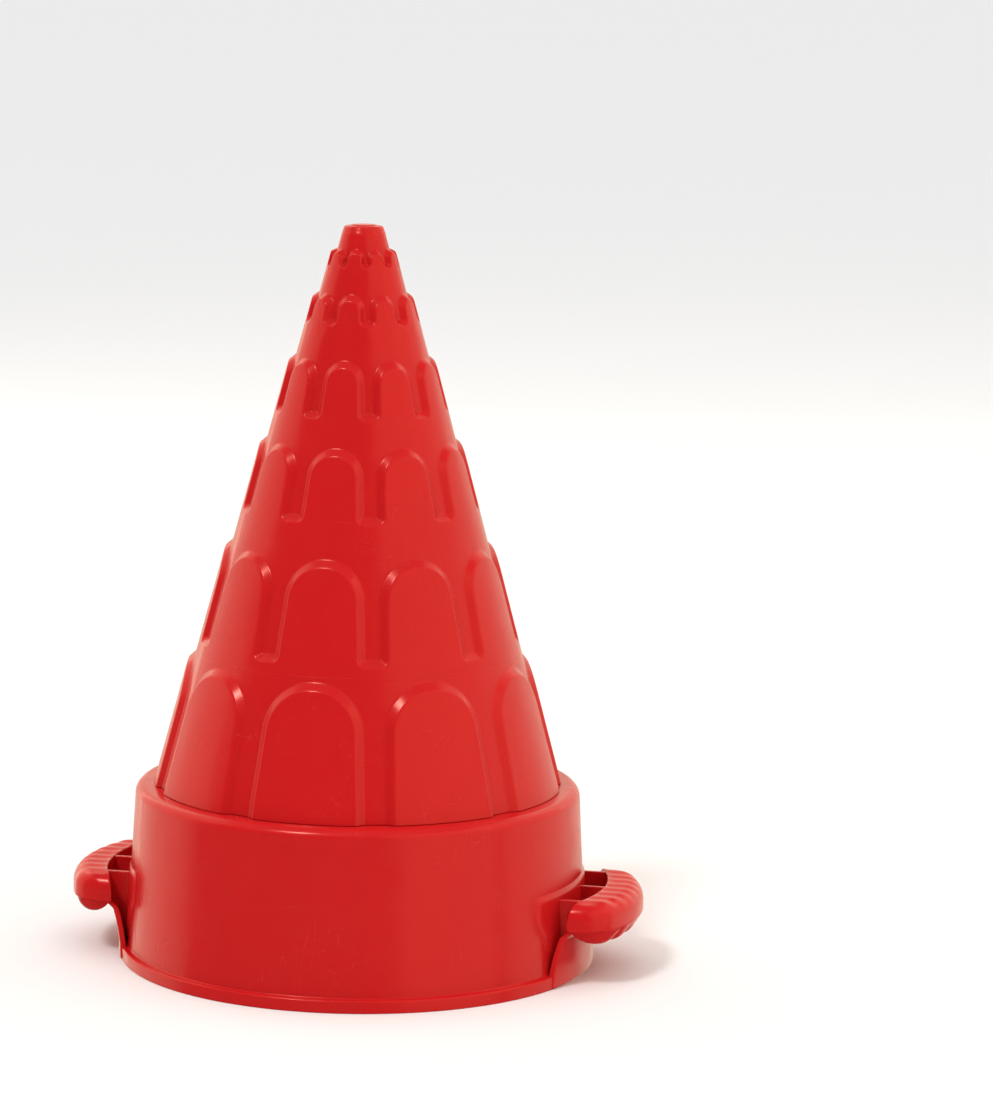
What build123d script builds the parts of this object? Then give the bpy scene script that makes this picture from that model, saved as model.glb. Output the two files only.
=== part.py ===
from build123d import *
import os
from math import cos, pi, radians, sin, sqrt, tan

# A sand mould shaped like a castle tower. The origin is the centre of the base, on the surface
# it stands on, and +Z is up. The front, -Y, faces the middle of one column of arches. The two
# handles are opposite each other, a small turn away from the X axis.

# Whole object
HEIGHT = 262.7
WALL = 2.0
ROOF = 2.2

# Tower: a cone whose surface steps out by one relief depth at every storey
TIP_RADIUS = 6.87
CONE_SLOPE = tan(radians(15))
STEP = 2.09
ARCHES = 9
FOOT_TOP_Z = 63.5
FOOT_RADIUS = 70.3
SEAT_Z = 61.7
RELIEF_INSET = 1.6
# For each storey from the top: arch crown height, slot end height, slot width
STOREYS = [
    (253.9, 248.6, 2.6),
    (238.2, 229.2, 4.1),
    (215.9, 197.9, 5.4),
    (186.1, 163.1, 7.8),
    (148.8, 115.9, 8.4),
    (108.1, FOOT_TOP_Z, 10.5),
]

# Collar: a drafted ring wall with a round shoulder above and a skirted foot flange below
LEDGE_Z = 62.7
LEDGE = 2.2
COLLAR_TOP_RADIUS = 79.4
COLLAR_FOOT_RADIUS = 82.6
SHOULDER = 3.5
FLANGE_RADIUS = 84.9
FLANGE_HEIGHT = 4.6
FLANGE_EDGE = 0.7
SKIRT = 1.9

# Handle, in its own frame: X runs outwards, Y along the grip
HANDLE_TURN = 2.0
GRIP_TOP = 30.6
GRIP_BOTTOM = 20.7
GRIP_HALF_LENGTH = 31.7
GRIP_REACH = 103.6
GRIP_OUTER_CURVE = 60.0
GRIP_INNER_REACH = 90.4
GRIP_INNER_CURVE = 69.0
GRIP_CORNER = 6.5
GRIP_EDGE = 6.0
FLUTE_PITCH = 6.65
FLUTE_COUNT = 9
FLUTE_DEPTH = 0.5
FLUTE_RADIUS = 4.0
LOBE_DEPTH = 6.0
LOBE_INSET = 1.1
LOBE_HALF_WIDTH = 5.9
LOBE_PITCH = 9.5
NOTCH_COUNT = 5
NOTCH_DEPTH = 2.2
PLATE = 0.8
PLATE_TOP = 33.6
PLATE_WAIST = 24.0
PLATE_HALF_ANGLE = 28.5
PLATE_FOOT_HALF_ANGLE = 19.0
PLATE_CORNER = 3.5
WEB = 1.7
WEB_OFFSET = 22.8
WEB_TOP = 30.0
APRON = 2.0
APRON_HALF_WIDTH = 29.3
APRON_FOOT_HALF_WIDTH = 33.5
# The apron's outside from its foot up into the grip: radius, height
APRON_PROFILE = [
    (85.8, 0.3),
    (85.8, 6.0),
    (86.1, 10.0),
    (86.7, 14.0),
    (87.7, 18.0),
    (91.6, 21.8),
    (91.6, 25.0),
]


def cone_radius(z, steps):
    """Radius of the tower's surface at height z, after so many storeys have stepped out."""
    return TIP_RADIUS + (HEIGHT - z) * CONE_SLOPE + steps * STEP


def frustum(z_low, r_low, z_high, r_high):
    """A solid cone slice about Z."""
    outline = Polyline((0, z_low), (r_low, z_low), (r_high, z_high), (0, z_high), close=True)
    return revolve(Plane.XZ * make_face(outline), Axis.Z)


def arch_outline(storey, offset, inset):
    """One arch in the plane it is pressed out along: X across, Y up."""
    crown_z, end_z, slot = STOREYS[storey]
    crown_z -= inset
    if end_z > FOOT_TOP_Z:
        end_z -= inset

    def half_width(z):
        reach = (cone_radius(z, storey) + offset) * sin(pi / ARCHES)
        return reach - (slot / 2 + inset) * cos(pi / ARCHES)

    spring_z = crown_z - half_width(crown_z)
    for _ in range(4):
        spring_z = crown_z - half_width(spring_z)
    low = half_width(end_z)
    spring = half_width(spring_z)
    sides = Polyline((-spring, spring_z), (-low, end_z), (low, end_z), (spring, spring_z))
    crown = ThreePointArc((spring, spring_z), (0, crown_z), (-spring, spring_z))
    return make_face(sides + crown)


def arch_ring(storey, offset, inset):
    """The raised arches of one storey, each a slice of the stepped-out cone."""
    crown_z, end_z, _ = STOREYS[storey]
    if end_z > FOOT_TOP_Z:
        end_z -= inset
    top_z = crown_z - inset
    reach = cone_radius(end_z, storey + 1) + offset
    slice_ = frustum(end_z, reach, top_z, cone_radius(top_z, storey + 1) + offset)
    inner = (cone_radius(top_z, storey) + offset) * 0.8
    press = Plane.XZ.offset(inner) * arch_outline(storey, offset, inset)
    press = extrude(press, reach * 1.1 - inner)
    arch = press & slice_
    return [Rot(0, 0, 360 / ARCHES * k) * arch for k in range(ARCHES)]


def tower_body(offset, inset, top_z, foot_z, foot_radius):
    """The stepped cone with its arches. A negative offset gives the inside."""
    points = [(0, top_z), (cone_radius(top_z, 0) + offset, top_z)]
    for storey, (_, end_z, _) in enumerate(STOREYS[:-1]):
        step_z = end_z - inset
        points.append((cone_radius(step_z, storey) + offset, step_z))
        points.append((cone_radius(step_z, storey + 1) + offset, step_z))
    points += [(foot_radius, FOOT_TOP_Z), (foot_radius, foot_z), (0, foot_z)]
    body = revolve(Plane.XZ * make_face(Polyline(*points, close=True)), Axis.Z)
    arches = []
    for storey in range(len(STOREYS)):
        if inset and storey == 0:
            continue
        arches += arch_ring(storey, offset, inset)
    return body + arches


def tower_shell():
    """The tower: closed at the tip, open below, with the same relief inside and out."""
    outside = tower_body(0.0, 0.0, HEIGHT, SEAT_Z, FOOT_RADIUS)
    inside = tower_body(-WALL, RELIEF_INSET, HEIGHT - ROOF, SEAT_Z - 1, FOOT_RADIUS - WALL)
    return outside - inside


def collar_radius(z):
    """Radius of the collar's outer wall at height z."""
    rise = (z - FLANGE_HEIGHT) / (LEDGE_Z - FLANGE_HEIGHT)
    return COLLAR_FOOT_RADIUS + (COLLAR_TOP_RADIUS - COLLAR_FOOT_RADIUS) * rise


def base_collar():
    """The ring under the tower: seat and ledge, shoulder, wall, foot flange and skirt."""
    shoulder_z = LEDGE_Z - SHOULDER
    top = collar_radius(shoulder_z)
    turn = SHOULDER * (1 - sqrt(0.5))
    bore = FOOT_RADIUS - WALL
    under_z = LEDGE_Z - LEDGE
    skirt = FLANGE_RADIUS - SKIRT
    flange_under_z = FLANGE_HEIGHT - SKIRT
    edge = FLANGE_EDGE
    outside = Polyline(
        (bore, under_z), (bore, SEAT_Z), (FOOT_RADIUS, SEAT_Z), (FOOT_RADIUS, LEDGE_Z),
        (top - SHOULDER, LEDGE_Z),
    )
    shoulder = ThreePointArc((top - SHOULDER, LEDGE_Z), (top - turn, LEDGE_Z - turn), (top, shoulder_z))
    wall = Polyline(
        (top, shoulder_z), (COLLAR_FOOT_RADIUS, FLANGE_HEIGHT),
        (FLANGE_RADIUS - edge, FLANGE_HEIGHT), (FLANGE_RADIUS, FLANGE_HEIGHT - edge),
        (FLANGE_RADIUS, 0), (skirt, 0), (skirt, flange_under_z),
        (COLLAR_FOOT_RADIUS - WALL, flange_under_z), (top - WALL, under_z), (bore, under_z),
    )
    return revolve(Plane.XZ * make_face(outside + shoulder + wall), Axis.Z)


def collar_envelope(grow):
    """Everything inside the collar's outer wall, grown outwards, with the flange below."""
    wall = frustum(0, collar_radius(0) + grow, LEDGE_Z, collar_radius(LEDGE_Z) + grow)
    return wall + Cylinder(FLANGE_RADIUS, FLANGE_HEIGHT, align=(Align.CENTER, Align.CENTER, Align.MIN))


def arc_reach(reach, curve, y):
    """How far out an arc of radius curve, peaking at reach, lies at y."""
    return reach - curve + sqrt(curve ** 2 - y ** 2)


def grip_outline(inset):
    """The grip's crescent from above, drawn in by inset on its outer side and ends."""
    end = GRIP_HALF_LENGTH - inset
    outer = GRIP_REACH - inset
    curve = GRIP_OUTER_CURVE - inset
    inner_x = arc_reach(GRIP_INNER_REACH, GRIP_INNER_CURVE, end)
    outer_x = arc_reach(outer, curve, end)
    inside = ThreePointArc((inner_x, -end), (GRIP_INNER_REACH, 0), (inner_x, end))
    outside = ThreePointArc((outer_x, end), (outer, 0), (outer_x, -end))
    ends = Line((inner_x, end), (outer_x, end)) + Line((outer_x, -end), (inner_x, -end))
    face = make_face(inside + ends + outside)
    corners = [v for v in face.vertices() if v.X > inner_x + 1]
    return fillet(corners, GRIP_CORNER)


def grip():
    """The crescent bar, with flutes across its top."""
    bar = extrude(Pos(0, 0, GRIP_BOTTOM) * grip_outline(0), GRIP_TOP - GRIP_BOTTOM)
    outer_edges = [e for e in bar.edges().group_by(Axis.Z)[-1] if e.center().X > GRIP_INNER_REACH]
    bar = fillet(outer_edges, GRIP_EDGE)
    flute = Cylinder(FLUTE_RADIUS, 2 * GRIP_HALF_LENGTH, rotation=(0, 90, 0))
    flute_z = GRIP_TOP + FLUTE_RADIUS - FLUTE_DEPTH
    flutes = []
    for k in range(FLUTE_COUNT):
        y = (k - (FLUTE_COUNT - 1) / 2) * FLUTE_PITCH
        flutes.append(Pos(GRIP_REACH, y, flute_z) * flute)
    return bar - flutes


def lobes():
    """The round belly under the grip, notched between the fingers."""
    middle = GRIP_OUTER_CURVE - LOBE_INSET - LOBE_HALF_WIDTH
    belly = Plane.XZ * Pos(middle, GRIP_BOTTOM) * Ellipse(LOBE_HALF_WIDTH, LOBE_DEPTH)
    belly = Pos(GRIP_REACH - GRIP_OUTER_CURVE, 0, 0) * revolve(belly, Axis.Z)
    below = extrude(Pos(0, 0, GRIP_BOTTOM - 2 * LOBE_DEPTH) * grip_outline(LOBE_INSET), 2 * LOBE_DEPTH)
    side = NOTCH_DEPTH * sqrt(2)
    blade = Box(2 * GRIP_HALF_LENGTH, side, side, rotation=(45, 0, 0))
    notches = []
    for k in range(NOTCH_COUNT):
        y = (k - (NOTCH_COUNT - 1) / 2) * LOBE_PITCH
        notches.append(Pos(GRIP_REACH, y, GRIP_BOTTOM - LOBE_DEPTH) * blade)
    return (belly & below) - notches


def apron():
    """The skin from the grip's inner edge down past the foot flange."""
    inner = [(radius - APRON, z) for radius, z in reversed(APRON_PROFILE)]
    skin = revolve(Plane.XZ * make_face(Polyline(*APRON_PROFILE, *inner, close=True)), Axis.Z)
    front = Polyline(
        (-APRON_FOOT_HALF_WIDTH, 0), (APRON_FOOT_HALF_WIDTH, 0),
        (APRON_HALF_WIDTH, GRIP_TOP), (-APRON_HALF_WIDTH, GRIP_TOP), close=True,
    )
    return skin & extrude(Plane.YZ * make_face(front), GRIP_REACH)


def back_plate():
    """The thin raised pad that carries the handle on the collar's wall."""
    half = COLLAR_FOOT_RADIUS * sin(radians(PLATE_HALF_ANGLE))
    foot = COLLAR_FOOT_RADIUS * sin(radians(PLATE_FOOT_HALF_ANGLE))
    outline = make_face(Polyline(
        (-foot, FLANGE_HEIGHT), (foot, FLANGE_HEIGHT), (half, PLATE_WAIST),
        (half, PLATE_TOP), (-half, PLATE_TOP), (-half, PLATE_WAIST), close=True,
    ))
    outline = fillet(outline.vertices().group_by(Axis.Y)[-1], PLATE_CORNER)
    window = extrude(Plane.YZ * outline, GRIP_REACH)
    return collar_envelope(PLATE) & window


def webs():
    """Three upright ribs between the back plate and the grip."""
    limit = [(0, FLANGE_HEIGHT)]
    limit += [(radius - APRON / 2, max(z, FLANGE_HEIGHT)) for radius, z in APRON_PROFILE[:-1]]
    limit += [(APRON_PROFILE[-1][0] - APRON / 2, WEB_TOP), (0, WEB_TOP)]
    inside = revolve(Plane.XZ * make_face(Polyline(*limit, close=True)), Axis.Z)
    blade = Box(GRIP_REACH, WEB, 2 * GRIP_TOP, align=(Align.MIN, Align.CENTER, Align.CENTER))
    return [Pos(0, y, 0) * blade & inside for y in (-WEB_OFFSET, 0, WEB_OFFSET)]


def handle():
    """One whole handle on the +X side."""
    body = grip() + lobes() + apron() + back_plate()
    body = body + webs()
    return body - collar_envelope(0)


os.makedirs("parts", exist_ok=True)
right = Rot(0, 0, HANDLE_TURN) * handle()
pieces = {
    "tower_shell": tower_shell(),
    "base_collar": base_collar(),
    "handle_right": right,
    "handle_left": Rot(0, 0, 180) * right,
}
for name, solid in pieces.items():
    export_step(solid, f"parts/{name}.step")
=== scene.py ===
"""A glossy red sand mould shaped like a castle tower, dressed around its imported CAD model."""

from math import atan, atan2, cos, hypot, pi, radians, sin, sqrt, tan

import bmesh
import bpy
from mathutils import Matrix, Vector
from mathutils.geometry import delaunay_2d_cdt


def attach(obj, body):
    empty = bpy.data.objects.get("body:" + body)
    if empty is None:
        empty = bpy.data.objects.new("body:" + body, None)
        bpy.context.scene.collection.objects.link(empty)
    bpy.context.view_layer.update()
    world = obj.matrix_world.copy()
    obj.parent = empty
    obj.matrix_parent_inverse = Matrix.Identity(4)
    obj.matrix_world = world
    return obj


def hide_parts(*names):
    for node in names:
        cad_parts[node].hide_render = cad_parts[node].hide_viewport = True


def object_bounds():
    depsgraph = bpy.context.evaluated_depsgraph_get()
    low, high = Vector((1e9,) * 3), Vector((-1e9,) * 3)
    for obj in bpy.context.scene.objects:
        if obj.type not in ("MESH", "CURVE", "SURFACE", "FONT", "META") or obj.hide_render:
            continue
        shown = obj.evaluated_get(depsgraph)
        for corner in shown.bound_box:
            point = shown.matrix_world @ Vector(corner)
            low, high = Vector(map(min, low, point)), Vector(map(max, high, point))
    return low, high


# Lengths are in millimetres until a mesh is made. Azimuths turn from the front, -Y, towards +X.
MM = 0.001

# Tower: a cone whose surface steps out by one relief depth at every storey
WALL = 2.0
ROOF = 2.2
TIP_RADIUS = 6.87
CONE_ANGLE = radians(15)
STEP = 2.09
ARCHES = 9
HALF_COLUMN = pi / ARCHES
FOOT_TOP_Z = 62.8
FOOT_RADIUS = 70.3
FOOT_EDGE = 0.22
SEAT_Z = 61.7
# Each storey from the top: arch crown height, slot end height, slot width, wall's run, edge rounding
STOREYS = [
    (253.3, 248.1, 3.7, 1.2, 0.6),
    (237.3, 228.4, 6.0, 1.9, 0.9),
    (214.7, 196.9, 7.8, 2.2, 1.2),
    (185.1, 162.0, 9.8, 2.3, 1.4),
    (147.9, 114.8, 10.7, 2.4, 1.5),
    (107.0, None, 13.0, 2.6, 1.6),
]
SLOT_CORNER = 2.6
COLUMN_SPREAD = atan(sin(CONE_ANGLE) * HALF_COLUMN)
# The plain cone that the stepped tower comes nearest to, for laying it flat
MEAN_TIP_RADIUS = 7.0
MEAN_SLOPE = 0.33
# Spacing of mesh rows: least, and as a share of the radius
ROW_STEP = 1.5
ROW_SHARE = 0.11
TIP_BAND = 2.1
TIP_BAND_DEPTH = 0.12
GATE_RADIUS = 4.4
GATE_HEIGHT = 0.4

# Collar
LEDGE_Z = 62.7
LEDGE = 2.2
COLLAR_TOP_RADIUS = 79.4
COLLAR_FOOT_RADIUS = 82.6
SHOULDER = 3.5
FLANGE_RADIUS = 84.9
FLANGE_HEIGHT = 4.6
SKIRT = 1.9
COLLAR_FACETS = 180

# Handles, drawn on the +X side: X runs outwards and Y along the grip
HANDLE_TURN = radians(2)
GRIP_TOP = 30.6
GRIP_BOTTOM = 20.7
GRIP_HALF_LENGTH = 31.7
GRIP_REACH = 103.6
GRIP_OUTER_CURVE = 60.0
GRIP_INNER_REACH = 90.4
GRIP_INNER_CURVE = 69.0
GRIP_CORNER = 6.5
GRIP_EDGE = 6.2
GRIP_INNER_EDGE = 0.7
GRIP_STATION = 0.475
FLUTE_PITCH = 6.65
FLUTE_COUNT = 9
FLUTE_DEPTH = 0.5
LOBE_DEPTH = 6.0
LOBE_INSET = 1.1
LOBE_PITCH = 9.5
NOTCH_COUNT = 5
NOTCH_DEPTH = 2.2
PLATE = 0.8
PLATE_EDGE = 4.5
PLATE_TOP = 33.6
PLATE_WAIST = 24.0
PLATE_HALF_ANGLE = radians(28.5)
PLATE_FOOT_HALF_ANGLE = radians(19)
PLATE_CORNER = 3.5
WEB = 1.7
WEB_OFFSETS = (-22.8, 0.0, 22.8)
WEB_TOP = 30.0
APRON = 2.0
APRON_HALF_WIDTH = 29.3
APRON_FOOT_HALF_WIDTH = 33.5
# The apron's outside from its foot up into the grip: radius, height
APRON_PROFILE = [
    (85.4, 0.4),
    (85.5, 6.0),
    (86.0, 10.0),
    (86.7, 14.0),
    (87.7, 18.0),
    (91.6, 21.4),
    (91.6, 25.0),
]

# Fine mould lines: one upright all round, one level
PARTING_AZIMUTH = radians(-57)
WITNESS_Z = 111.0
LINE_WIDTH = 0.4

# Plastic: colours, roughness, and depths of its fine relief in metres
DEEP_RED = (0.540, 0.0105, 0.0120, 1)
LIGHT_RED = (0.600, 0.0118, 0.0138, 1)
WORN_RED = (0.74, 0.10, 0.09, 1)
SHEEN_TINT = (1.0, 0.45, 0.36, 1)
SHEEN = 0.45
SMOOTHEST = 0.19
ROUGHEST = 0.27
WEAR = 0.07
SWELL_DEPTH = 0.00022
GRAIN_DEPTH = 0.000012
LINE_DEPTH = 0.00005
SCUFF_DEPTH = 0.000004

# Camera
CAMERA_AZIMUTH = radians(15.1)
CAMERA_DISTANCE = 1477.5
CAMERA_HEIGHT = 380.4
CAMERA_PITCH = radians(8.994)
CAMERA_ROLL = radians(0.6122)
CAMERA_LENS = 137.46
CAMERA_SHIFT = 0.1236

# Lights. Angles are in degrees, panels' sizes and distances in metres.
SUN_DISTANCE = 3.0
PANEL_DISTANCE = 1.6
PANEL_COLOUR = (1.0, 0.84, 0.66)
ROOM = 0.08
# name, azimuth, elevation, spread, strength, seen in reflections
SUNS = [
    ("key", -25, 53, 11, 1.15, True),
    ("ceiling", 0, 90, 100, 2.0, False),
]
# name, azimuth, elevation, width, height, radiance, lights the floor
PANELS = [
    ("right", 62, 14, 1.7, 2.2, 1.05, True),
    ("right_back", 122, 14, 1.9, 2.4, 0.95, True),
    ("left_back", -106, 14, 2.0, 2.4, 1.15, True),
    ("back", -170, 2, 2.6, 2.8, 0.95, False),
]


# ---------------------------------------------------------------- mesh helpers

def on_ring(radius, azimuth, z):
    """The point at this radius, azimuth and height."""
    return Vector((radius * sin(azimuth), -radius * cos(azimuth), z))


def finish_mesh(bm, name, material, sharp_angle=40, bevel=0.0):
    """A closed, smooth-shaded piece in metres from a mesh drawn in millimetres."""
    bmesh.ops.remove_doubles(bm, verts=bm.verts, dist=0.004)
    bmesh.ops.recalc_face_normals(bm, faces=bm.faces)
    bmesh.ops.scale(bm, vec=Vector((MM, MM, MM)), verts=bm.verts)
    mesh = bpy.data.meshes.new(name)
    bm.to_mesh(mesh)
    bm.free()
    mesh.shade_smooth()
    mesh.set_sharp_from_angle(angle=radians(sharp_angle))
    mesh.materials.append(material)
    piece = bpy.data.objects.new(name, mesh)
    bpy.context.scene.collection.objects.link(piece)
    if bevel:
        edge = piece.modifiers.new("edges", "BEVEL")
        edge.width = bevel * MM
        edge.segments = 3
        edge.limit_method = "ANGLE"
        edge.angle_limit = radians(sharp_angle)
    normals = piece.modifiers.new("normals", "WEIGHTED_NORMAL")
    normals.keep_sharp = not bevel
    return piece


def rounded(corners, steps=5):
    """A closed outline from (x, y, radius) corners, with each corner turned in an arc."""
    points = []
    for k, (x, y, radius) in enumerate(corners):
        here = Vector((x, y))
        before = (Vector(corners[k - 1][:2]) - here).normalized()
        after = (Vector(corners[(k + 1) % len(corners)][:2]) - here).normalized()
        if radius <= 0:
            points.append(here)
            continue
        half = before.angle(after) / 2
        centre = here + (before + after).normalized() * radius / sin(half)
        start = here + before * radius / tan(half) - centre
        finish = here + after * radius / tan(half) - centre
        turn = start.angle_signed(finish)
        for step in range(steps + 1):
            points.append(centre + Matrix.Rotation(-turn * step / steps, 2) @ start)
    return points


def bridge(bm, ring, other, closed=True):
    """Quads between two rows of vertices."""
    count = len(ring)
    for k in range(count if closed else count - 1):
        quad = (ring[k], ring[(k + 1) % count], other[(k + 1) % count], other[k])
        if len(set(quad)) == 4:
            bm.faces.new(quad)


def lathe(bm, outline, segments):
    """Turns a closed (radius, height) outline about the tower's axis."""
    rings = []
    for k in range(segments):
        azimuth = 2 * pi * k / segments
        rings.append([bm.verts.new(on_ring(p[0], azimuth, p[1])) for p in outline])
    for k in range(segments):
        bridge(bm, rings[k], rings[(k + 1) % segments])


def loft(bm, sections):
    """A closed solid through a row of matching closed sections."""
    rings = [[bm.verts.new(p) for p in section] for section in sections]
    for ring, other in zip(rings, rings[1:]):
        bridge(bm, ring, other)
    bm.faces.new(rings[0])
    bm.faces.new(rings[-1])


# ---------------------------------------------------------------- tower

def cone_radius(z, level, height):
    """Radius of the tower's surface where so many storeys have stepped out."""
    return TIP_RADIUS + (height - z) * tan(CONE_ANGLE) + level * STEP


class Storey:
    """The outline of one storey's arches, unrolled: x across and v up the slope."""

    def __init__(self, index, height):
        self.index = index
        self.height = height
        self.crown_z, self.end_z, self.slot, self.run, self.fillet = STOREYS[index]
        crown_v = self.crown_z / cos(CONE_ANGLE)
        reach = self.pad_radius(crown_v) * HALF_COLUMN - self.slot / 2
        self.crown_radius = reach * cos(COLUMN_SPREAD) / (1 - sin(COLUMN_SPREAD))
        self.crown_v = crown_v - self.crown_radius
        self.corner = min(SLOT_CORNER, self.slot / 2)

    def pad_radius(self, v):
        return cone_radius(v * cos(CONE_ANGLE), self.index + 1, self.height)

    def distance(self, azimuth, z):
        """How far outside the raised arches a point is, with azimuth counted from a slot."""
        v = z / cos(CONE_ANGLE)
        radius = self.pad_radius(v)
        across = radius * (HALF_COLUMN - azimuth)
        rise = v - self.crown_v
        outside = self.slot / 2 - radius * azimuth
        if rise > across * tan(COLUMN_SPREAD):
            outside = hypot(across, rise) - self.crown_radius
        if self.end_z is None:
            return outside
        return min(outside, v - self.end_z / cos(CONE_ANGLE))

    def edge(self, out, foot_z, fine):
        """(azimuth, z) along half an arch, from its slot to its crown, moved out by so much."""
        slot = []
        half = self.slot / 2 - out
        low = foot_z / cos(CONE_ANGLE)
        if self.end_z is not None:
            end = self.end_z / cos(CONE_ANGLE) + out
            corner = max(self.corner - out, 0)
            flat = half - corner
            if flat > 0.1:
                slot += [(0, end), (flat / 2, end)]
            turns = (5 if fine else 2) if corner > 0.1 else 0
            for k in range(turns + 1):
                angle = pi / 2 * (k / turns if turns else 1)
                slot.append((flat + corner * sin(angle), end + corner * (1 - cos(angle))))
            if flat <= 0.1:
                slot[0] = (0, slot[0][1])
            low = end + corner
        crown = self.crown_radius + out
        spring = self.crown_v + crown * sin(COLUMN_SPREAD)
        rows = max(2, round((spring - low) / 6))
        first = 1 if self.end_z is not None else 0
        slot += [(half, low + (spring - low) * k / rows) for k in range(first, rows + 1)]
        points = [(x / self.pad_radius(v), v * cos(CONE_ANGLE)) for x, v in slot]
        turns = 5 + round(crown * (0.6 if fine else 0.3))
        for k in range(1, turns + 1):
            angle = COLUMN_SPREAD + (pi / 2 - COLUMN_SPREAD) * k / turns
            v = self.crown_v + crown * sin(angle)
            azimuth = HALF_COLUMN - crown * cos(angle) / self.pad_radius(v)
            points.append((HALF_COLUMN if k == turns else azimuth, v * cos(CONE_ANGLE)))
        return points

    def wall(self, fine):
        """(distance out, share of the relief) across the arch's sloping wall."""
        relief = STEP * cos(CONE_ANGLE)
        slope = atan2(relief, self.run)
        tangent = self.fillet * tan(slope / 2)
        turns = 3 if fine else 1
        rows = []
        for k in range(turns + 1):
            angle = slope * k / turns
            rows.append((self.fillet * sin(angle) - tangent, 1 - self.fillet * (1 - cos(angle)) / relief))
        spare = self.slot / 2 - self.run - tangent
        support = min(0.8, spare / 2)
        if fine:
            rows.insert(0, (-tangent - support, 1.0))
        return rows + [(self.run - out, 1 - share) for out, share in reversed(rows)]


def arch_lines(storeys, foot_z, fine):
    """Points, edges and levels along the lines that make up the arches' sloping walls."""
    places, edges, levels = [], [], []
    for storey in storeys:
        for out, share in storey.wall(fine):
            start = len(places)
            places += storey.edge(out, foot_z, fine)
            edges += [(k, k + 1) for k in range(start, len(places) - 1)]
            levels += [storey.index + share] * (len(places) - start)
    return places, edges, levels


def plain_points(storeys, foot_z, top_z, columns):
    """A grid of points and levels over the rest of the surface, clear of the sloping walls."""
    height = storeys[0].height
    z = foot_z
    rows = [foot_z]
    while z < top_z:
        z = min(top_z, z + max(ROW_STEP, cone_radius(z, 3, height) * ROW_SHARE))
        rows.append(z)
    places, levels = [], []
    for z in rows:
        on_border = z in (foot_z, top_z)
        for column in range(columns + 1):
            azimuth = HALF_COLUMN * column / columns
            gaps = [storey.distance(azimuth, z) for storey in storeys]
            near = [gap for storey, gap in zip(storeys, gaps) if -1.6 < gap < storey.run + 1.0]
            if near and not (on_border and not -1.2 < near[0] < storeys[-1].run + 0.6):
                continue
            levels.append(sum(1 for gap in gaps if gap < 0))
            places.append((azimuth, z))
    return places, levels


def laid_flat(azimuth, z, height):
    """A point of the tower unrolled on its mean cone, so that triangles keep their shape."""
    spread = sin(atan(MEAN_SLOPE))
    slant = (MEAN_TIP_RADIUS + MEAN_SLOPE * (height - z)) / spread
    return Vector((slant * sin(azimuth * spread), -slant * cos(azimuth * spread)))


def half_column(height, foot_z, top_z, fine):
    """Vertices (azimuth, z, level) and triangles of half a column, from slot to crown line."""
    storeys = [Storey(index, height) for index in range(len(STOREYS))]
    places, edges, levels = arch_lines(storeys, foot_z, fine)
    plain, plain_levels = plain_points(storeys, foot_z, top_z, 10 if fine else 6)
    places += plain
    levels += plain_levels
    flat = [laid_flat(azimuth, z, height) for azimuth, z in places]
    _, _, faces, origin, _, _ = delaunay_2d_cdt(flat, edges, [], 0, 1e-4)
    source = [min(found) for found in origin]
    verts = [(*places[k], levels[k]) for k in source]
    # Slivers between points that all lie on one border are left out
    borders = [lambda v: v[0] < 1e-6, lambda v: v[0] > HALF_COLUMN - 1e-6, lambda v: v[1] > top_z - 1e-6]
    kept = [f for f in faces if not any(all(on(verts[k]) for k in f) for on in borders)]
    return verts, kept


def tower_skin(bm, height, foot_z, top_z, shift, fine):
    """One skin of the tower, and its two open loops sorted by azimuth: foot, then top."""
    verts, faces = half_column(height, foot_z, top_z, fine)
    for column in range(ARCHES):
        middle = (2 * column + 1) * HALF_COLUMN
        for side in (-1, 1):
            made = []
            for azimuth, z, level in verts:
                radius = cone_radius(z, level, height) + shift
                made.append(bm.verts.new(on_ring(radius, middle + side * azimuth, z)))
            for face in faces:
                bm.faces.new([made[k] for k in face])
    bmesh.ops.remove_doubles(bm, verts=bm.verts, dist=0.004)
    loops = []
    for z in (foot_z, top_z):
        loop = [v for v in bm.verts if v.is_boundary and abs(v.co.z - z) < 1e-4]
        loops.append(sorted(loop, key=lambda v: atan2(v.co.x, -v.co.y)))
    return loops


def ring_from(bm, loop, place):
    """A new ring beside a loop, each vertex put where place(radius) says, and the quads between."""
    ring = []
    for vert in loop:
        radius, z = place(hypot(vert.co.x, vert.co.y))
        ring.append(bm.verts.new(on_ring(radius, atan2(vert.co.x, -vert.co.y), z)))
    bridge(bm, loop, ring)
    return ring


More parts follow.
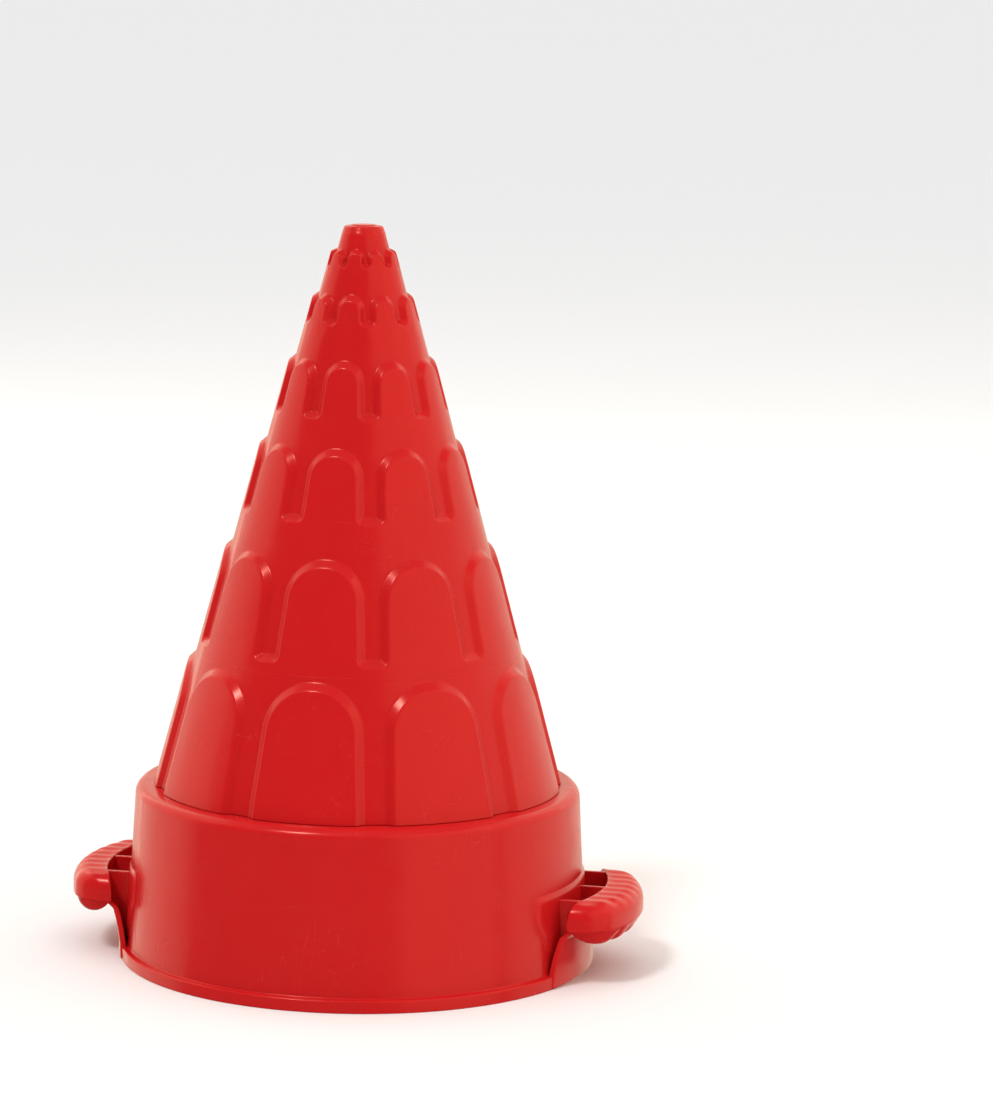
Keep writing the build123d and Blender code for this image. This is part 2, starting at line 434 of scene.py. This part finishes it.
def tower_outside(height):
    """The outer skin, with a rounded foot edge, and a rounded tip with its gate mark."""
    top_z = height - TIP_BAND - GATE_HEIGHT
    rim_z = height - GATE_HEIGHT
    bm = bmesh.new()
    foot, top = tower_skin(bm, height, FOOT_TOP_Z + FOOT_EDGE, top_z, 0.0, True)
    for drop in (0.5, 0.13, 0.0):
        inward = FOOT_EDGE * (1 - sqrt(1 - (1 - drop) ** 2))
        edge_z = FOOT_TOP_Z + FOOT_EDGE * drop
        foot = ring_from(bm, foot, lambda r: (max(r - inward, FOOT_RADIUS), edge_z))
    foot = ring_from(bm, foot, lambda r: (FOOT_RADIUS, FOOT_TOP_Z))
    ring_from(bm, foot, lambda r: (FOOT_RADIUS, SEAT_Z))
    band = cone_radius(top_z, 0, height) - TIP_BAND_DEPTH
    tip = cone_radius(rim_z, 0, height) - TIP_BAND_DEPTH
    rings = [
        (band, top_z + 0.15),
        (tip + 0.22, rim_z - 0.8),
        (tip - 0.05, rim_z - 0.35),
        (tip - 0.4, rim_z - 0.05),
        (tip - 0.75, rim_z),
        (GATE_RADIUS + 0.35, rim_z),
        (GATE_RADIUS + 0.1, rim_z + 0.1),
        (GATE_RADIUS - 0.05, height - 0.1),
        (GATE_RADIUS - 0.35, height),
        (1.5, height),
    ]
    for place in rings:
        top = ring_from(bm, top, lambda r: place)
    bm.faces.new(top)
    return bm


def tower_inside(height):
    """The inner skin, which repeats the relief more simply, under a flat roof."""
    bm = bmesh.new()
    foot, top = tower_skin(bm, height, FOOT_TOP_Z + FOOT_EDGE, height - ROOF - 1.0, -WALL, False)
    foot = ring_from(bm, foot, lambda r: (FOOT_RADIUS - WALL, FOOT_TOP_Z))
    ring_from(bm, foot, lambda r: (FOOT_RADIUS - WALL, SEAT_Z))
    top = ring_from(bm, top, lambda r: (r - 0.8, height - ROOF))
    bm.faces.new(top)
    return bm


def tower(height, material):
    """The hollow tower: both skins, joined by the ring that stands on the seat."""
    bm = tower_outside(height)
    inner = tower_inside(height)
    mesh = bpy.data.meshes.new("inner")
    inner.to_mesh(mesh)
    inner.free()
    bm.from_mesh(mesh)
    bpy.data.meshes.remove(mesh)
    rim = [e for e in bm.edges if e.is_boundary and abs(e.verts[0].co.z - SEAT_Z) < 1e-4]
    bmesh.ops.triangle_fill(bm, edges=rim, use_beauty=True)
    return finish_mesh(bm, "tower_moulding", material)


# ---------------------------------------------------------------- collar

def collar_radius(z):
    """Radius of the collar's outer wall."""
    rise = (z - FLANGE_HEIGHT) / (LEDGE_Z - FLANGE_HEIGHT)
    return COLLAR_FOOT_RADIUS + (COLLAR_TOP_RADIUS - COLLAR_FOOT_RADIUS) * rise


def collar(material):
    """The drafted ring with its seat, ledge, shoulder, foot flange and skirt."""
    bore = FOOT_RADIUS - WALL
    under_z = LEDGE_Z - LEDGE
    skirt = FLANGE_RADIUS - SKIRT
    under_flange_z = FLANGE_HEIGHT - SKIRT
    outline = rounded([
        (bore, under_z, 0.3),
        (bore, SEAT_Z, 0),
        (FOOT_RADIUS, SEAT_Z, 0),
        (FOOT_RADIUS, LEDGE_Z, 0.25),
        (COLLAR_TOP_RADIUS, LEDGE_Z, SHOULDER),
        (COLLAR_FOOT_RADIUS, FLANGE_HEIGHT, 0.7),
        (FLANGE_RADIUS, FLANGE_HEIGHT, 0.8),
        (FLANGE_RADIUS, 0, 0.4),
        (skirt, 0, 0.3),
        (skirt, under_flange_z, 0.4),
        (COLLAR_FOOT_RADIUS - WALL, under_flange_z, 1.0),
        (COLLAR_TOP_RADIUS - WALL, under_z, 1.5),
    ])
    bm = bmesh.new()
    lathe(bm, outline, COLLAR_FACETS)
    return finish_mesh(bm, "collar_moulding", material)


# ---------------------------------------------------------------- handles

def arc_reach(reach, curve, y):
    """How far out an arc of radius curve, peaking at reach, lies at y."""
    return reach - curve + sqrt(curve ** 2 - y ** 2)


def grip_depth(x, y):
    """How far a point lies inside the grip's rounded outer side and ends."""
    side = GRIP_OUTER_CURVE - hypot(x - GRIP_REACH + GRIP_OUTER_CURVE, y)
    end = GRIP_HALF_LENGTH - abs(y)
    if side < GRIP_CORNER and end < GRIP_CORNER:
        return GRIP_CORNER - hypot(GRIP_CORNER - side, GRIP_CORNER - end)
    return min(side, end)


def grip_outer(y, inset):
    """The grip's outer limit at y, drawn in by inset."""
    end = GRIP_HALF_LENGTH - abs(y)
    side = inset
    corner = GRIP_CORNER - inset
    if end < GRIP_CORNER:
        side = GRIP_CORNER - sqrt(max(corner ** 2 - (GRIP_CORNER - end) ** 2, 0))
    return arc_reach(GRIP_REACH - side, GRIP_OUTER_CURVE - side, y)


def turned_drop(depth, radius):
    """How far a rounded edge has fallen at this depth inside it."""
    return radius - sqrt(max(radius ** 2 - max(radius - depth, 0) ** 2, 0))


def grip_top(x, y, inner):
    """Height of the grip's upper side, whose flutes run out over its rounded outer edge."""
    depth = grip_depth(x, y)
    drop = turned_drop(depth, GRIP_EDGE) + turned_drop(x - inner, GRIP_INNER_EDGE)
    wave = 0.0
    if abs(y) < FLUTE_COUNT / 2 * FLUTE_PITCH:
        wave = FLUTE_DEPTH * cos(pi * y / FLUTE_PITCH) ** 2
    fade = min(max(depth / 4, 0), 1) * min(max((x - inner) / 1.6, 0), 1)
    return GRIP_TOP - drop - wave * fade


def belly_drop(y):
    """How far the grip's round belly hangs at y: notched between the fingers, closed at its ends."""
    share = min(abs(y) / (GRIP_HALF_LENGTH - LOBE_INSET), 1)
    drop = LOBE_DEPTH * (1 - share ** 8) ** 0.5
    nearest = min(max(round(y / LOBE_PITCH), -(NOTCH_COUNT // 2)), NOTCH_COUNT // 2)
    beside = abs(y - nearest * LOBE_PITCH)
    return drop - NOTCH_DEPTH * max(1 - beside / (LOBE_PITCH * 0.45), 0) ** 1.6


def grip_section(y):
    """One slice across the grip, as a closed row of points."""
    inner = arc_reach(GRIP_INNER_REACH, GRIP_INNER_CURVE, y)
    outer = grip_outer(y, 0)
    width = outer - inner
    curve = min(GRIP_EDGE, width * 0.8)
    across = [0.0, 0.1, 0.3, GRIP_INNER_EDGE]
    across += [GRIP_INNER_EDGE + (width - curve - GRIP_INNER_EDGE) * k / 4 for k in range(1, 5)]
    across += [width - curve * (1 - sin(pi / 2 * k / 10)) for k in range(1, 11)]
    points = [(inner + step, y, grip_top(inner + step, y, inner)) for step in across]
    shoulder = points[-1][2]
    points += [(outer, y, shoulder + (GRIP_BOTTOM - shoulder) * share) for share in (0.4, 0.8)]
    points += [(outer - 0.12, y, GRIP_BOTTOM + 0.12), (outer - 0.4, y, GRIP_BOTTOM)]
    inset = min(LOBE_INSET, width / 4)
    half = (width - inset - 0.2) / 2
    drop = belly_drop(y)
    for k in range(13):
        angle = pi * k / 12
        points.append((inner + 0.2 + half * (1 + cos(angle)), y, GRIP_BOTTOM - 0.02 - drop * sin(angle)))
    points += [(inner, y, GRIP_BOTTOM + 0.2), (inner, y, GRIP_TOP - 6), (inner, y, GRIP_TOP - 3)]
    return points


def grip(bm):
    """The crescent bar, fluted on top, with a notched belly underneath."""
    reach = GRIP_HALF_LENGTH
    ends = [reach - GRIP_CORNER * (1 - sin(pi / 2 * k / 12)) for k in range(13)]
    middle = [k * GRIP_STATION for k in range(60) if k * GRIP_STATION < ends[0] - 0.2]
    side = middle + ends
    stations = [-y for y in reversed(side[1:])] + side
    loft(bm, [grip_section(y) for y in stations])


def turned_wall(bm, section, half_width, columns):
    """A curved wall: each (radius, z) point of its section swept to a half width of its own."""
    rows = []
    for column in range(columns + 1):
        share = 2 * column / columns - 1
        row = []
        for radius, z in section:
            angle = share * half_width(radius, z)
            row.append(Vector((radius * cos(angle), radius * sin(angle), z)))
        rows.append(row)
    loft(bm, rows)


def apron_half_angle(radius, z):
    """The apron narrows from its foot to the grip."""
    half = APRON_FOOT_HALF_WIDTH + (APRON_HALF_WIDTH - APRON_FOOT_HALF_WIDTH) * z / GRIP_TOP
    return atan2(half, sqrt(radius ** 2 - half ** 2))


def apron(bm):
    """The skin from the grip's inner edge down to the foot flange."""
    inner = [(radius - APRON, z) for radius, z in reversed(APRON_PROFILE)]
    section = APRON_PROFILE + inner
    turned_wall(bm, section, apron_half_angle, 28)


def plate_half_angle(z):
    """Half the back plate's spread: it widens to its waist and has round upper corners."""
    if z <= PLATE_WAIST:
        share = (z - FLANGE_HEIGHT) / (PLATE_WAIST - FLANGE_HEIGHT)
        return PLATE_FOOT_HALF_ANGLE + (PLATE_HALF_ANGLE - PLATE_FOOT_HALF_ANGLE) * share
    rise = max(z - PLATE_TOP + PLATE_CORNER, 0)
    cut = PLATE_CORNER - sqrt(max(PLATE_CORNER ** 2 - rise ** 2, 0))
    return PLATE_HALF_ANGLE - cut / COLLAR_FOOT_RADIUS


def back_plate(bm):
    """The thin raised pad that carries the handle on the collar's wall, melting into it at its edges."""
    heights = [FLANGE_HEIGHT - 0.2, 8.0, 12.0, 18.0, PLATE_WAIST, 27.0]
    heights += [PLATE_TOP - PLATE_CORNER * (1 - sin(pi / 2 * k / 6)) for k in range(7)]
    shares = [sin(pi / 2 * k / 16) for k in range(-16, 17)]
    rows = []
    for share in shares:
        outer = []
        inner = []
        for z in heights:
            half = plate_half_angle(z)
            angle = share * half
            spare = min((1 - abs(share)) * half * COLLAR_FOOT_RADIUS, (PLATE_TOP - z) * 2)
            share_in = min(spare / PLATE_EDGE, 1)
            lift = PLATE * share_in ** 2 * (3 - 2 * share_in) - 0.05
            for radius, side in ((collar_radius(z) + lift, outer), (collar_radius(z) - 0.4, inner)):
                side.append(Vector((radius * cos(angle), radius * sin(angle), z)))
        rows.append(outer + inner[::-1])
    loft(bm, rows)


def webs(bm):
    """Three upright ribs between the back plate and the grip."""
    limit = [(79.0, FLANGE_HEIGHT - 0.3)]
    limit += [(radius - APRON / 2, max(z, FLANGE_HEIGHT - 0.3)) for radius, z in APRON_PROFILE[1:-1]]
    limit += [(APRON_PROFILE[-1][0] - APRON / 2, WEB_TOP), (79.0, WEB_TOP)]
    for middle in WEB_OFFSETS:
        sections = []
        for y in (middle - WEB / 2, middle + WEB / 2):
            sections.append([Vector((sqrt(radius ** 2 - y ** 2), y, z)) for radius, z in limit])
        loft(bm, sections)


def handle(name, material, turn):
    """One handle: grip, apron, back plate and webs in one piece, turned about the axis."""
    parts = []
    for build, sharp, bevel in ((grip, 50, 0), (apron, 32, 0.5), (back_plate, 32, 0.35), (webs, 32, 0.3)):
        bm = bmesh.new()
        build(bm)
        bmesh.ops.rotate(bm, matrix=Matrix.Rotation(turn, 3, "Z"), verts=bm.verts)
        parts.append(finish_mesh(bm, name + "_" + build.__name__, material, sharp, bevel))
    return join(name, parts)


def join(name, parts):
    """Applies each part's modifiers and joins them into one piece."""
    view = bpy.context.evaluated_depsgraph_get()
    bm = bmesh.new()
    for part in parts:
        mesh = bpy.data.meshes.new_from_object(part.evaluated_get(view))
        bm.from_mesh(mesh)
        bpy.data.meshes.remove(mesh)
    mesh = bpy.data.meshes.new(name)
    bm.to_mesh(mesh)
    bm.free()
    mesh.materials.append(parts[0].data.materials[0])
    for part in parts:
        bpy.data.objects.remove(part)
    piece = bpy.data.objects.new(name, mesh)
    bpy.context.scene.collection.objects.link(piece)
    piece.modifiers.new("normals", "WEIGHTED_NORMAL").keep_sharp = True
    return piece


# ---------------------------------------------------------------- materials

def node(tree, kind, settings=(), **inputs):
    """A shader node with its settings and inputs. An input may be a value or another socket."""
    made = tree.nodes.new(kind)
    for key, value in dict(settings).items():
        setattr(made, key, value)
    for key, value in inputs.items():
        index = int(key[1:]) if key[0] == "i" and key[1:].isdigit() else key.replace("_", " ")
        socket = made.inputs[index]
        if isinstance(value, bpy.types.NodeSocket):
            tree.links.new(value, socket)
        else:
            socket.default_value = value
    return made


def noise(tree, place, scale, detail=2.0, roughness=0.5):
    """A noise whose features are about 1/scale metres across."""
    return node(tree, "ShaderNodeTexNoise", Vector=place, Scale=scale, Detail=detail, Roughness=roughness)


def mixed(tree, factor, low, high):
    """A colour between two, each a constant or a socket."""
    return node(tree, "ShaderNodeMix", {"data_type": "RGBA"}, i0=factor, i6=low, i7=high).outputs[2]


def ramp(tree, value, start, stop, low=0.0, high=1.0):
    """A value stretched from one span to another, and held at its ends."""
    span = {"From_Min": start, "From_Max": stop, "To_Min": low, "To_Max": high}
    made = node(tree, "ShaderNodeMapRange", {"interpolation_type": "SMOOTHSTEP"}, Value=value, **span)
    return made.outputs["Result"]


def maths(tree, operation, first, second=None):
    """One sum on sockets. The second term may be a number, and some sums have none."""
    terms = {"i0": first}
    if second is not None:
        terms["i1"] = second
    return node(tree, "ShaderNodeMath", {"operation": operation}, **terms).outputs["Value"]


def line_mark(tree, distance):
    """1 on a fine line and 0 beside it, from the distance to it in metres."""
    width = LINE_WIDTH * MM
    return ramp(tree, maths(tree, "ABSOLUTE", distance), width * 0.2, width, 1.0, 0.0)


def mould_lines(tree, place):
    """The upright line where two mould halves met, and a level one round the tower."""
    facing = (cos(PARTING_AZIMUTH), sin(PARTING_AZIMUTH), 0)
    across = node(tree, "ShaderNodeVectorMath", {"operation": "DOT_PRODUCT"}, i0=place, i1=facing)
    height = node(tree, "ShaderNodeSeparateXYZ", Vector=place).outputs["Z"]
    above = maths(tree, "SUBTRACT", height, WITNESS_Z * MM)
    return maths(tree, "MAXIMUM", line_mark(tree, across.outputs["Value"]), line_mark(tree, above))


def scuffs(tree, place, stretch, turn, scale):
    """Hairline scratches that run roughly one way, and only in patches."""
    laid = node(tree, "ShaderNodeMapping", Vector=place, Rotation=turn, Scale=stretch)
    strokes = noise(tree, laid.outputs["Vector"], scale, 1)
    crest = maths(tree, "ABSOLUTE", maths(tree, "SUBTRACT", strokes.outputs["Fac"], 0.5))
    line = ramp(tree, crest, 0.0, 0.006, 1.0, 0.0)
    patches = ramp(tree, noise(tree, place, 45, 2).outputs["Fac"], 0.52, 0.62)
    return maths(tree, "MULTIPLY", line, patches)


def relief(tree, layers):
    """Fine relief from (height, depth in metres) layers, laid one on another."""
    normal = None
    for height, depth in layers:
        sunk = {"invert": depth < 0}
        bump = node(tree, "ShaderNodeBump", sunk, Height=height, Strength=1.0, Distance=abs(depth))
        if normal:
            tree.links.new(normal, bump.inputs["Normal"])
        normal = bump.outputs["Normal"]
    return normal


def red_plastic(name):
    """Injection-moulded plastic: slight flow marks, a fine skin, scuffs and mould lines."""
    material = bpy.data.materials.new(name)
    material.use_nodes = True
    tree = material.node_tree
    shader = tree.nodes["Principled BSDF"]
    place = node(tree, "ShaderNodeTexCoord").outputs["Object"]

    upright = scuffs(tree, place, (1, 1, 0.06), (0.5, 0.2, 0), 260)
    level = scuffs(tree, place, (0.05, 1, 1), (0.1, 0.4, 0.9), 220)
    marks = maths(tree, "MAXIMUM", upright, level)
    wear = maths(tree, "MULTIPLY", marks, WEAR)

    drawn = node(tree, "ShaderNodeMapping", Vector=place, Scale=(1, 1, 0.35))
    flow = noise(tree, drawn.outputs["Vector"], 34, 3, 0.55)
    colour = mixed(tree, flow.outputs["Fac"], DEEP_RED, LIGHT_RED)
    tree.links.new(mixed(tree, wear, colour, WORN_RED), shader.inputs["Base Color"])

    skin = noise(tree, place, 120, 3, 0.6)
    gloss = ramp(tree, skin.outputs["Fac"], 0.3, 0.7, SMOOTHEST, ROUGHEST)
    tree.links.new(maths(tree, "ADD", gloss, wear), shader.inputs["Roughness"])
    shader.inputs["Specular IOR Level"].default_value = SHEEN
    shader.inputs["Specular Tint"].default_value = SHEEN_TINT

    swell = noise(tree, place, 55, 1).outputs["Fac"]
    grain = noise(tree, place, 1400, 2).outputs["Fac"]
    lines = mould_lines(tree, place)
    layers = [(swell, SWELL_DEPTH), (grain, GRAIN_DEPTH), (lines, LINE_DEPTH), (marks, -SCUFF_DEPTH)]
    tree.links.new(relief(tree, layers), shader.inputs["Normal"])
    return material


def floor_material():
    """A plain pale studio floor."""
    material = bpy.data.materials.new("floor")
    material.use_nodes = True
    shader = material.node_tree.nodes["Principled BSDF"]
    shader.inputs["Base Color"].default_value = (0.86, 0.86, 0.86, 1)
    shader.inputs["Roughness"].default_value = 0.9
    shader.inputs["Specular IOR Level"].default_value = 0.1
    return material


# ---------------------------------------------------------------- studio

def floor():
    """A wide floor under the object."""
    bm = bmesh.new()
    bmesh.ops.create_grid(bm, x_segments=4, y_segments=4, size=40)
    mesh = bpy.data.meshes.new("floor")
    bm.to_mesh(mesh)
    bm.free()
    mesh.materials.append(floor_material())
    ground = bpy.data.objects.new("floor", mesh)
    bpy.context.scene.collection.objects.link(ground)
    ground.visible_glossy = False


def camera():
    """The camera, in front, a little to the right and above."""
    ahead = Vector((-sin(CAMERA_AZIMUTH), cos(CAMERA_AZIMUTH), 0))
    place = -ahead * CAMERA_DISTANCE
    up = Vector((0, 0, 1))
    view = ahead * cos(CAMERA_PITCH) - up * sin(CAMERA_PITCH)
    up = up * cos(CAMERA_PITCH) + ahead * sin(CAMERA_PITCH)
    right = view.cross(up)
    across = right * cos(CAMERA_ROLL) + up * sin(CAMERA_ROLL)
    upward = up * cos(CAMERA_ROLL) - right * sin(CAMERA_ROLL)
    data = bpy.data.cameras.new("camera")
    data.lens = CAMERA_LENS
    data.shift_x = CAMERA_SHIFT
    data.clip_end = 100
    eye = bpy.data.objects.new("camera", data)
    turn = Matrix((across, upward, -view)).transposed().to_4x4()
    eye.matrix_world = Matrix.Translation((place + Vector((0, 0, CAMERA_HEIGHT))) * MM) @ turn
    bpy.context.scene.collection.objects.link(eye)
    bpy.context.scene.camera = eye


def lamp(name, kind, azimuth, elevation, distance, aim):
    """A light turned towards the object."""
    source = bpy.data.objects.new(name, bpy.data.lights.new(name, kind))
    flat = distance * cos(radians(elevation))
    offset = on_ring(flat, radians(azimuth), distance * sin(radians(elevation)))
    source.location = aim + offset
    source.rotation_mode = "QUATERNION"
    source.rotation_quaternion = offset.to_track_quat("Z", "Y")
    source.visible_camera = False
    bpy.context.scene.collection.objects.link(source)
    return source


def softbox(name, azimuth, elevation, width, tall, radiance, lights_floor, aim):
    """A rectangular panel, a little warm, that lights the floor or only shows as a reflection."""
    source = lamp(name, "AREA", azimuth, elevation, PANEL_DISTANCE, aim)
    source.visible_diffuse = lights_floor
    data = source.data
    data.shape = "RECTANGLE"
    data.size = width
    data.size_y = tall
    data.energy = radiance * pi * width * tall
    data.color = PANEL_COLOUR


def sky(name, azimuth, elevation, spread, strength, glossy, aim):
    """A distant light that falls evenly on the floor, with or without a reflection of its own."""
    source = lamp(name, "SUN", azimuth, elevation, SUN_DISTANCE, aim)
    source.data.angle = radians(spread)
    source.data.energy = strength
    source.visible_glossy = glossy


def studio(aim):
    """A high key light on the left, a soft ceiling, and warm panels at the sides and behind."""
    for settings in SUNS:
        sky(*settings, aim)
    for settings in PANELS:
        softbox(*settings, aim)
    world = bpy.data.worlds.new("room")
    world.use_nodes = True
    world.node_tree.nodes["Background"].inputs["Color"].default_value = (ROOM, ROOM, ROOM, 1)
    bpy.context.scene.world = world
    bpy.context.scene.view_settings.view_transform = "Standard"


# ---------------------------------------------------------------- assembly

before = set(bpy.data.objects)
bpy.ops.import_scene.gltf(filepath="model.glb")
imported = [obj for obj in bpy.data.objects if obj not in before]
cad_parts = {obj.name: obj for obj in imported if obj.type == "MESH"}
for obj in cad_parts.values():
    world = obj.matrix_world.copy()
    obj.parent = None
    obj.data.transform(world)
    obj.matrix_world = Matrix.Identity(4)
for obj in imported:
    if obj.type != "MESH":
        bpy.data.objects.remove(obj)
cad_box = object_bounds()
top_of_cad = cad_box[1].z / MM

camera()
plastic = red_plastic("red_plastic")
mouldings = {
    "tower_shell": tower(top_of_cad, plastic),
    "base_collar": collar(plastic),
    "handle_right": handle("handle_right_moulding", plastic, HANDLE_TURN),
    "handle_left": handle("handle_left_moulding", plastic, HANDLE_TURN + pi),
}
for cad_node, piece in mouldings.items():
    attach(piece, "root")
    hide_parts(cad_node)
floor()
studio((cad_box[0] + cad_box[1]) / 2)
